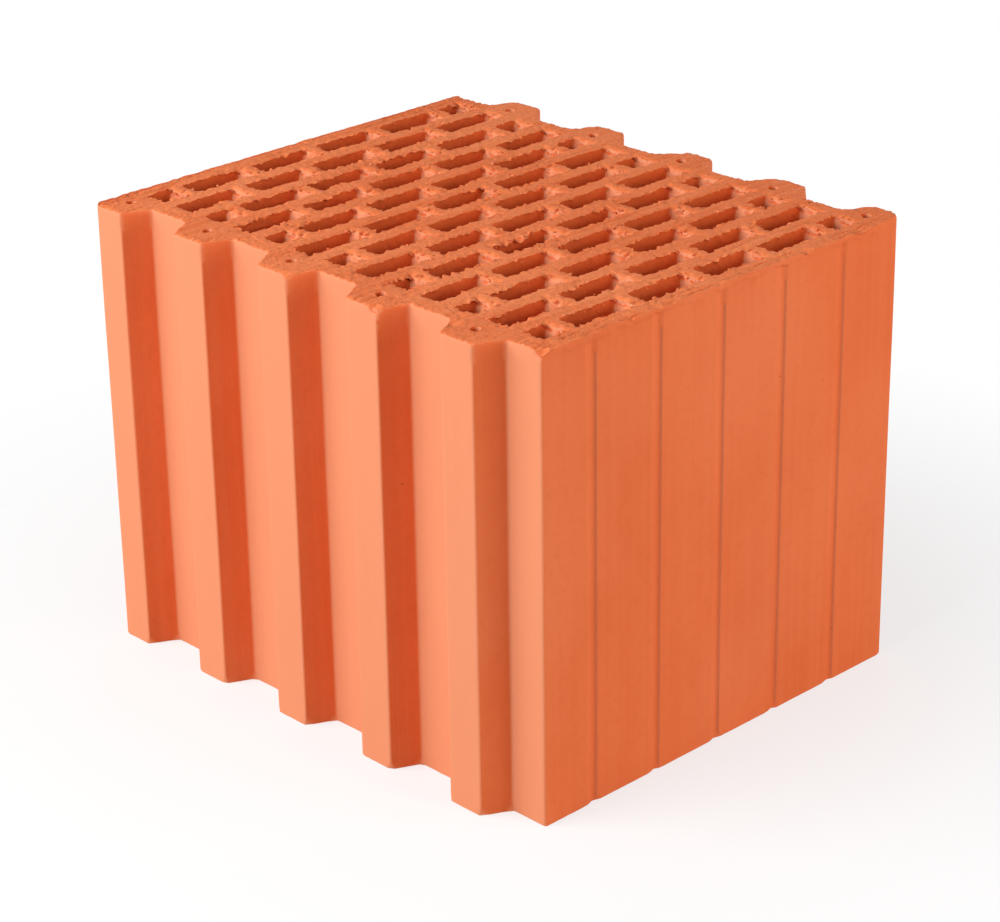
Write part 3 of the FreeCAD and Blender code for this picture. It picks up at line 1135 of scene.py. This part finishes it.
def pore_group():
    """Small pores, thinly spread, as a height for their pits and a mask where painted shade goes into them.
    """
    group, given, result = new_group(
        "Pores",
        [("Place", "NodeSocketVector"), ("Spacing", "NodeSocketFloat"), ("Size", "NodeSocketFloat"),
         ("Share", "NodeSocketFloat")],
        [("Mask", "NodeSocketFloat"), ("Height", "NodeSocketFloat")])
    place = given.outputs["Place"]
    spacing = given.outputs["Spacing"]
    scale = arithmetic(group, "DIVIDE", 1.0, spacing)
    cells = add_node(group, "ShaderNodeTexVoronoi", {"Vector": place, "Scale": scale}, feature="F1")
    draw = add_node(group, "ShaderNodeSeparateColor", {0: cells.outputs["Color"]}).outputs
    chosen = arithmetic(group, "LESS_THAN", draw[0], given.outputs["Share"])
    radius = arithmetic(group, "MULTIPLY", given.outputs["Size"], arithmetic(group, "ADD", draw[1], 0.35))
    radius = arithmetic(group, "DIVIDE", radius, spacing)
    wobble = noise_value(group, place, (0.0011, 0.0011, 0.0011), 2.0, 0.55)
    away = arithmetic(group, "MULTIPLY", cells.outputs["Distance"], arithmetic(group, "ADD", wobble, 0.5))
    depth = arithmetic(group, "SUBTRACT", 1.0, arithmetic(group, "DIVIDE", away, radius))
    depth = number_step(group, depth, 0.0, 0.5)
    mask = arithmetic(group, "MULTIPLY", depth, chosen)
    feed(group, mask, result.inputs["Mask"])
    feed(group, arithmetic(group, "SUBTRACT", 1.0, mask), result.inputs["Height"])
    return group


def torn_grain_group():
    """Coarse torn grain with drag lines along X, as the cutting wire leaves it."""
    group, given, result = new_group(
        "Torn Grain",
        [("Place", "NodeSocketVector")],
        [("Height", "NodeSocketFloat"), ("Raised", "NodeSocketFloat")])
    place = given.outputs["Place"]
    coarse = noise_value(group, place, (0.0030, 0.0022, 0.0026), 4.0, 0.65)
    fine = noise_value(group, place, (0.0009, 0.0008, 0.0009), 3.0, 0.65)
    drag = noise_value(group, place, (0.075, 0.0019, 0.006), 2.0, 0.5)
    scratch = noise_value(group, place, (0.03, 0.0008, 0.003), 1.0, 0.5)
    drag = weighted_sum(group, (drag, 1.5), (scratch, 0.5))
    lump_place = stretched(group, place, (0.0019, 0.0016, 0.0018))
    lump_inputs = {"Vector": lump_place, "Scale": 1.0, "Smoothness": 0.35}
    cells = add_node(group, "ShaderNodeTexVoronoi", lump_inputs, feature="SMOOTH_F1")
    lumps = number_step(group, cells.outputs["Distance"], 0.1, 0.75, 1.0, 0.0)
    height = weighted_sum(group, (coarse, 0.65), (fine, 0.42), (drag, 0.85), (lumps, 0.28))
    feed(group, height, result.inputs["Height"])
    feed(group, number_step(group, height, 1.42, 1.86), result.inputs["Raised"])
    return group


def fine_skin_group():
    """The fine skin of pressed clay: tiny grain and faint scratches along the press direction."""
    group, given, result = new_group(
        "Pressed Skin",
        [("Place", "NodeSocketVector")],
        [("Height", "NodeSocketFloat")])
    place = given.outputs["Place"]
    grain = noise_value(group, place, (0.0008, 0.0008, 0.001), 3.0, 0.6)
    dents = noise_value(group, place, (0.012, 0.012, 0.02), 2.0, 0.5)
    scratch = noise_value(group, place, (0.0011, 0.0011, 0.09), 2.0, 0.6)
    height = weighted_sum(group, (grain, 0.35), (dents, 0.9), (scratch, 0.35))
    feed(group, height, result.inputs["Height"])
    return group


def end_painted_highlight_group():
    """A painted highlight on the faces that look along X: full on those that look to -X, towards the key
    lamp, and fainter on those that look to +X.
    """
    group, given, result = new_group(
        "End Bloom",
        [("Color", "NodeSocketColor"), ("Bloom", "NodeSocketColor"), ("Normal", "NodeSocketVector"),
         ("Strength", "NodeSocketFloat")],
        [("Color", "NodeSocketColor")])
    facing = add_node(group, "ShaderNodeSeparateXYZ", {0: given.outputs["Normal"]}).outputs["X"]
    full = number_step(group, facing, -0.95, -0.5, 1.0, 0.0)
    faint = number_step(group, facing, 0.5, 0.95, 0.0, 0.35)
    share = arithmetic(group, "MULTIPLY", arithmetic(group, "ADD", full, faint), given.outputs["Strength"])
    with_painted_highlight = colour_mix(group, share, given.outputs["Color"], given.outputs["Bloom"])
    feed(group, with_painted_highlight, result.inputs["Color"])
    return group


def group_node(tree, group, **inputs):
    """A node group placed in a material, with its inputs fed by name."""
    node = tree.nodes.new("ShaderNodeGroup")
    node.node_tree = group
    for name, value in inputs.items():
        feed(tree, value, node.inputs[name.replace("_", " ")])
    return node


def cleared_tree(owner, output_kind):
    """The emptied node tree of a material or a world, and the socket that takes its shader."""
    owner.use_nodes = True
    tree = owner.node_tree
    tree.nodes.clear()
    return tree, tree.nodes.new(output_kind).inputs["Surface"]


def matt_material(name):
    """A matt material with its node tree, its shader and its coordinates."""
    material = bpy.data.materials.new(name)
    tree, surface = cleared_tree(material, "ShaderNodeOutputMaterial")
    shader = add_node(tree, "ShaderNodeBsdfPrincipled", {"Specular IOR Level": 0.25})
    feed(tree, shader.outputs[0], surface)
    return material, tree, shader, tree.nodes.new("ShaderNodeTexCoord").outputs


def finished(tree, shader, colour, roughness, height, distance, strength):
    """Gives a shader its colour, its roughness and the relief of a height."""
    bump = add_node(tree, "ShaderNodeBump", {"Strength": strength, "Distance": distance, "Height": height})
    feed(tree, colour, shader.inputs["Base Color"])
    feed(tree, roughness, shader.inputs["Roughness"])
    feed(tree, bump.outputs["Normal"], shader.inputs["Normal"])


def pressed_material(colours, groups):
    """Smooth pressed faces: soft tone, faint upright streaks, scattered pores with painted shade in their
    pits, and a painted highlight on the faces that look along X.
    """
    material, tree, shader, coordinates = matt_material("pressed_clay")
    place = coordinates["Object"]
    tone = group_node(tree, groups["tone"], Place=place, Base=colours.pressed, Pale=colours.pressed_pale,
                      Deep=colours.pressed_deep, Streak_Stretch=(0.0042, 0.0042, 0.35))
    pores = group_node(tree, groups["pores"], Place=place, Spacing=0.014, Size=0.0006, Share=0.3)
    skin = group_node(tree, groups["skin"], Place=place)
    # Painted highlight on the faces that look along X, strongest on those towards the key lamp at -X.
    bloom_and_painted_highlight = group_node(tree, groups["bloom_and_painted_highlight"], Color=tone.outputs["Color"], Bloom=colours.end_painted_highlight,
                       Normal=coordinates["Normal"], Strength=0.7)
    # Painted shade: the pits of the pores are coloured dark.
    colour = colour_mix(tree, pores.outputs["Mask"], bloom_and_painted_highlight.outputs["Color"], colours.pore_painted_shade)
    roughness = number_step(tree, tone.outputs["Streak"], 0.3, 0.7, 0.76, 0.9)
    height = weighted_sum(tree, (skin.outputs["Height"], 1.0), (pores.outputs["Height"], 1.2))
    finished(tree, shader, colour, roughness, height, distance=0.0004, strength=0.6)
    return material


def cut_material(colours, groups):
    """Wire-cut faces: torn grain with a painted highlight where it stands up, painted shade in its pits,
    and a painted highlight on the slopes that look along X.
    """
    material, tree, shader, coordinates = matt_material("cut_clay")
    place = coordinates["Object"]
    tone = group_node(tree, groups["tone"], Place=place, Base=colours.cut, Pale=colours.cut_pale_and_painted_grain_highlight,
                      Deep=colours.pressed_deep, Streak_Stretch=(0.05, 0.0016, 0.0016))
    grain = group_node(tree, groups["grain"], Place=place)
    pores = group_node(tree, groups["pores"], Place=place, Spacing=0.0075, Size=0.0008, Share=0.25)
    raised = grain.outputs["Raised"]
    # Painted highlight: the raised grain is made paler, where light falls on it.
    with_painted_grain_highlight = colour_mix(tree, arithmetic(tree, "MULTIPLY", raised, 0.5), tone.outputs["Color"],
                         colours.cut_pale_and_painted_grain_highlight)
    # Painted highlight on the torn slopes that look along X, strongest towards the key lamp at -X.
    bloom_and_painted_highlight = group_node(tree, groups["bloom_and_painted_highlight"], Color=with_painted_grain_highlight, Bloom=colours.end_painted_highlight,
                       Normal=coordinates["Normal"], Strength=0.9)
    # Painted shade: the pits of the cut faces are coloured darker.
    pore_shade_share = arithmetic(tree, "MULTIPLY", pores.outputs["Mask"], 0.75)
    colour = colour_mix(tree, pore_shade_share, bloom_and_painted_highlight.outputs["Color"], colours.pore_painted_shade)
    roughness = number_step(tree, raised, 0.0, 1.0, 0.86, 0.96)
    height = weighted_sum(tree, (grain.outputs["Height"], 1.0), (pores.outputs["Height"], 1.0))
    finished(tree, shader, colour, roughness, height, distance=0.0009, strength=0.75)
    return material


def hole_material(colours, groups):
    """Walls of the holes: a tone darker than the pressed faces, which is painted shade inside the holes,
    with upright press marks and a painted highlight on the walls that look along X.
    """
    material, tree, shader, coordinates = matt_material("hole_clay")
    place = coordinates["Object"]
    # The darker hole colour is painted shade inside the holes.
    tone = group_node(tree, groups["tone"], Place=place, Base=colours.hole, Pale=colours.pressed,
                      Deep=colours.pressed_deep, Streak_Stretch=(0.002, 0.002, 0.12))
    skin = group_node(tree, groups["skin"], Place=place)
    grain = group_node(tree, groups["grain"], Place=place)
    # Painted highlight on the hole walls that look along X, such as the +X end walls, which face the key
    # lamp.
    bloom_and_painted_highlight = group_node(tree, groups["bloom_and_painted_highlight"], Color=tone.outputs["Color"], Bloom=colours.end_painted_highlight,
                       Normal=coordinates["Normal"], Strength=0.8)
    roughness = number_step(tree, tone.outputs["Streak"], 0.3, 0.7, 0.84, 0.94)
    height = weighted_sum(tree, (skin.outputs["Height"], 1.0), (grain.outputs["Height"], 0.3))
    finished(tree, shader, bloom_and_painted_highlight.outputs["Color"], roughness, height, distance=0.0006, strength=0.7)
    return material


def clay_materials(colours):
    """The three finishes of the block, made once."""
    names = ("pressed_clay", "cut_clay", "hole_clay")
    if all(name in bpy.data.materials for name in names):
        return [bpy.data.materials[name] for name in names]
    groups = {
        "tone": clay_tone_group(),
        "pores": pore_group(),
        "grain": torn_grain_group(),
        "skin": fine_skin_group(),
        "bloom_and_painted_highlight": end_painted_highlight_group(),
    }
    return [
        pressed_material(colours, groups),
        cut_material(colours, groups),
        hole_material(colours, groups),
    ]


class CLAYBLOCK_OT_body(bpy.types.Operator):
    """Build the fired block with torn wire-cut faces, pressed sides and all its holes"""

    bl_idname = "clay_block.body"
    bl_label = "Block Body"
    SHARP_ANGLE = math.radians(42.0)

    def execute(self, context):
        sizes = context.scene.clay_block_sizes
        section = Section(sizes)
        block = BlockMesh(section, Relief(section, sizes), sizes)
        if not block.faces:
            raise RuntimeError("the block body has no faces")
        body = mesh_object("wire_cut_block", block.points, block.faces)
        mesh = body.data
        for material in clay_materials(context.scene.clay_block_colours):
            mesh.materials.append(material)
        mesh.polygons.foreach_set("material_index", block.materials)
        mesh.polygons.foreach_set("use_smooth", [True] * len(mesh.polygons))
        mesh.set_sharp_from_angle(angle=self.SHARP_ANGLE)
        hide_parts(NODE)
        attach(body, "root")
        return {"FINISHED"}


def crumb(radius, seed):
    """A small angular lump of torn clay with twenty sides, as points about its middle and faces."""
    golden = (1.0 + math.sqrt(5.0)) / 2.0
    longest_side = 2.1
    corner_distance = 1.9
    points = []
    for a in (-1.0, 1.0):
        for b in (-golden, golden):
            points += [(0.0, a, b), (a, b, 0.0), (b, 0.0, a)]
    faces = []
    for i in range(12):
        for j in range(i + 1, 12):
            for k in range(j + 1, 12):
                sides = (math.dist(points[i], points[j]), math.dist(points[j], points[k]),
                         math.dist(points[i], points[k]))
                if max(sides) < longest_side:
                    faces.append((i, j, k))
    lumps = []
    for number, point in enumerate(points):
        bend = 0.75 + 0.5 * noise.cell(Vector((number * 3.7, seed * 1.3, 0.5)))
        lumps.append(Vector(point) * (radius * bend / corner_distance))
    outward = []
    for i, j, k in faces:
        normal = (Vector(points[j]) - Vector(points[i])).cross(Vector(points[k]) - Vector(points[i]))
        middle = Vector(points[i]) + Vector(points[j]) + Vector(points[k])
        outward.append((i, j, k) if normal.dot(middle) > 0.0 else (i, k, j))
    return lumps, outward


class CLAYBLOCK_OT_crumbs(bpy.types.Operator):
    """Stick torn crumbs of clay to the edges of the holes"""

    bl_idname = "clay_block.crumbs"
    bl_label = "Torn Crumbs"
    # Tries for each crumb before the operator gives up
    MOST_TRIES = 60
    # A crumb is pressed a little flat
    FLATTENED = 0.7

    def execute(self, context):
        sizes = context.scene.clay_block_sizes
        section = Section(sizes)
        relief = Relief(section, sizes)
        points = []
        faces = []
        placed = 0
        tried = 0
        while placed < sizes.crumb_count:
            tried += 1
            if tried > sizes.crumb_count * self.MOST_TRIES:
                raise RuntimeError("no room for the crumbs")
            which, along, chance, deep, large = draws(tried * 1.37, 7.1, 2.0, 5)
            box = section.holes[int(which * len(section.holes)) % len(section.holes)]
            x, y = self.edge_place(box, along)
            if chance > 0.35 * relief.torn(x, y):
                continue
            depth = relief.CUT_LOSS + 2.2 * deep * deep
            radius = 0.45 + 0.95 * large ** 3
            away = relief.nearest_hole(x, y)[1]
            shift = relief.sideways(x, y, away, depth) + 0.35 * radius
            x += away[0] * shift
            y += away[1] * shift
            self.add_crumb(points, faces, (x, y, section.height - depth), radius, tried)
            placed += 1
        crumbs = mesh_object("torn_crumbs", points, faces)
        crumbs.data.materials.append(clay_materials(context.scene.clay_block_colours)[1])
        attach(crumbs, "root")
        return {"FINISHED"}

    def edge_place(self, box, share):
        """A place on the edge of a hole, more often on its long far side."""
        low_x, high_x, low_y, high_y = box
        if share < 0.5:
            return low_x + (high_x - low_x) * share * 2.0, high_y
        if share < 0.75:
            return high_x, low_y + (high_y - low_y) * (share - 0.5) * 4.0
        return low_x + (high_x - low_x) * (share - 0.75) * 4.0, low_y

    def add_crumb(self, points, faces, place, radius, seed):
        """Adds one crumb to the joined crumbs."""
        lumps, sides = crumb(radius, seed)
        first = len(points)
        turn = Matrix.Rotation(seed * 2.399, 3, "Z") @ Matrix.Rotation(seed * 1.1, 3, "X")
        for lump in lumps:
            x, y, z = turn @ lump
            z *= self.FLATTENED
            points.append(tuple((a + b) * MM for a, b in zip(place, (x, y, z))))
        faces += [tuple(first + n for n in side) for side in sides]


def aimed(thing, place, target):
    """Puts a lamp or camera at a place and points it at a target."""
    thing.location = place
    thing.rotation_euler = (Vector(target) - Vector(place)).to_track_quat("-Z", "Y").to_euler()


def round_block(azimuth, elevation, distance, target):
    """A place round the block; azimuth 0 is on the -Y side, as the camera angles are counted."""
    back = Vector((
        math.sin(azimuth) * math.cos(elevation),
        -math.cos(azimuth) * math.cos(elevation),
        math.sin(elevation)))
    return Vector(target) + back * distance


def soft_lamp(name, target, azimuth, elevation, distance, width, height, power):
    """A large soft lamp round the block, aimed at it; its angles are in degrees and its sizes in metres."""
    data = bpy.data.lights.new(name, "AREA")
    data.shape = "RECTANGLE"
    data.size = width
    data.size_y = height
    data.energy = power
    lamp = bpy.data.objects.new(name, data)
    lamp.visible_camera = False
    bpy.context.scene.collection.objects.link(lamp)
    aimed(lamp, round_block(math.radians(azimuth), math.radians(elevation), distance, target), target)


def floor_material(colours):
    """A pale floor that keeps the shadow near the block and fades into the white backdrop."""
    glow_share = 0.66
    bounce_grey = (0.42, 0.42, 0.42)
    fade_start = 0.22
    fade_end = 0.46
    material = bpy.data.materials.new("studio_floor")
    tree, surface = cleared_tree(material, "ShaderNodeOutputMaterial")
    pale = add_node(tree, "ShaderNodeBsdfDiffuse", {"Color": colours.floor}).outputs[0]
    glow = add_node(tree, "ShaderNodeEmission", {"Strength": 1.0}).outputs[0]
    bounce = add_node(tree, "ShaderNodeBsdfDiffuse", {"Color": bounce_grey}).outputs[0]
    clear = tree.nodes.new("ShaderNodeBsdfTransparent").outputs[0]
    by_camera = tree.nodes.new("ShaderNodeLightPath").outputs["Is Camera Ray"]
    place = tree.nodes.new("ShaderNodeTexCoord").outputs["Object"]
    away = add_node(tree, "ShaderNodeVectorMath", {0: place}, operation="LENGTH").outputs["Value"]
    near = shader_mix(tree, by_camera, bounce, shader_mix(tree, glow_share, pale, glow))
    feed(tree, shader_mix(tree, number_step(tree, away, fade_start, fade_end), near, clear), surface)
    return material


def white_world(strength):
    """Even room light, seen as plain white by the camera and in reflections."""
    white = (1.0, 1.0, 1.0)
    world = bpy.data.worlds.new("studio_room")
    tree, surface = cleared_tree(world, "ShaderNodeOutputWorld")
    room = add_node(tree, "ShaderNodeBackground", {"Color": white, "Strength": strength}).outputs[0]
    backdrop = add_node(tree, "ShaderNodeBackground", {"Color": white}).outputs[0]
    rays = tree.nodes.new("ShaderNodeLightPath").outputs
    seen = arithmetic(tree, "MAXIMUM", rays["Is Camera Ray"], rays["Is Glossy Ray"])
    seen = arithmetic(tree, "MAXIMUM", seen, rays["Is Transmission Ray"])
    feed(tree, shader_mix(tree, seen, room, backdrop), surface)
    bpy.context.scene.world = world


class CLAYBLOCK_OT_studio(bpy.types.Operator):
    """Set up the pale floor, the soft lamps and the camera at the block's best angle"""

    bl_idname = "clay_block.studio"
    bl_label = "Studio"
    FLOOR_REACH = 1.6
    SENSOR_WIDTH = 36.0
    # Moves the aimed camera along its own axes, so that the block sits in the frame as in the view
    CAMERA_SHIFT = Vector((0.0008, -0.01515, 0.0))

    def execute(self, context):
        studio = context.scene.clay_block_studio
        reach = self.FLOOR_REACH
        floor = mesh_object(
            "studio_floor_sheet",
            [(-reach, -reach, 0.0), (reach, -reach, 0.0), (reach, reach, 0.0), (-reach, reach, 0.0)],
            [(0, 1, 2, 3)])
        floor.data.materials.append(floor_material(context.scene.clay_block_colours))
        middle = (0.0, 0.0, (BLOCK_LOW[2] + BLOCK_HIGH[2]) / 2.0)
        soft_lamp("key_softbox", middle, azimuth=-110.0, elevation=27.0, distance=1.7,
                  width=2.0, height=0.5, power=studio.key_power)
        soft_lamp("front_softbox", middle, azimuth=19.0, elevation=14.0, distance=1.8,
                  width=1.5, height=0.9, power=studio.front_power)
        soft_lamp("fill_softbox", middle, azimuth=125.0, elevation=6.0, distance=1.8,
                  width=1.2, height=0.4, power=studio.fill_power)
        white_world(studio.room_light)
        self.add_camera(context, studio, middle)
        context.scene.view_settings.view_transform = "Standard"
        return {"FINISHED"}

    def add_camera(self, context, studio, middle):
        """The camera at the angle of the view, with the block filling the frame."""
        data = bpy.data.cameras.new("studio_camera")
        data.sensor_width = self.SENSOR_WIDTH
        data.lens = studio.camera_lens
        camera = bpy.data.objects.new("studio_camera", data)
        context.scene.collection.objects.link(camera)
        place = round_block(studio.camera_azimuth, studio.camera_elevation, studio.camera_distance, middle)
        aimed(camera, place, middle)
        aim = camera.rotation_euler.to_matrix()
        camera.location = place + aim @ self.CAMERA_SHIFT
        camera.rotation_euler = (aim @ Matrix.Rotation(studio.camera_roll, 3, "Z")).to_euler()
        context.scene.camera = camera


class CLAYBLOCK_PT_panel(bpy.types.Panel):
    """Clay block controls in the sidebar"""

    bl_idname = "CLAYBLOCK_PT_panel"
    bl_label = "Clay Block"
    bl_space_type = "VIEW_3D"
    bl_region_type = "UI"
    bl_category = "Clay Block"

    def draw(self, context):
        layout = self.layout
        scene = context.scene
        for title, group in (("Sizes", scene.clay_block_sizes), ("Colours", scene.clay_block_colours),
                             ("Studio", scene.clay_block_studio)):
            box = layout.box()
            box.label(text=title)
            for name in group.__annotations__:
                box.prop(group, name)
        for operator in OPERATORS:
            layout.operator(operator.bl_idname)


OPERATORS = (CLAYBLOCK_OT_body, CLAYBLOCK_OT_crumbs, CLAYBLOCK_OT_studio)
GROUPS = (
    (ClayBlockSizes, "clay_block_sizes"),
    (ClayBlockColours, "clay_block_colours"),
    (ClayBlockStudio, "clay_block_studio"),
)


def register():
    """Registers the classes and puts the settings on the scene."""
    for group, name in GROUPS:
        bpy.utils.register_class(group)
        setattr(bpy.types.Scene, name, PointerProperty(type=group))
    for operator in OPERATORS:
        bpy.utils.register_class(operator)
    bpy.utils.register_class(CLAYBLOCK_PT_panel)


def unregister():
    """Takes the settings and the classes away again."""
    bpy.utils.unregister_class(CLAYBLOCK_PT_panel)
    for operator in reversed(OPERATORS):
        bpy.utils.unregister_class(operator)
    for group, name in reversed(GROUPS):
        delattr(bpy.types.Scene, name)
        bpy.utils.unregister_class(group)


def main():
    """Builds the block and its studio."""
    register()
    bpy.ops.clay_block.body()
    bpy.ops.clay_block.crumbs()
    bpy.ops.clay_block.studio()


if __name__ == "__main__":
    main()
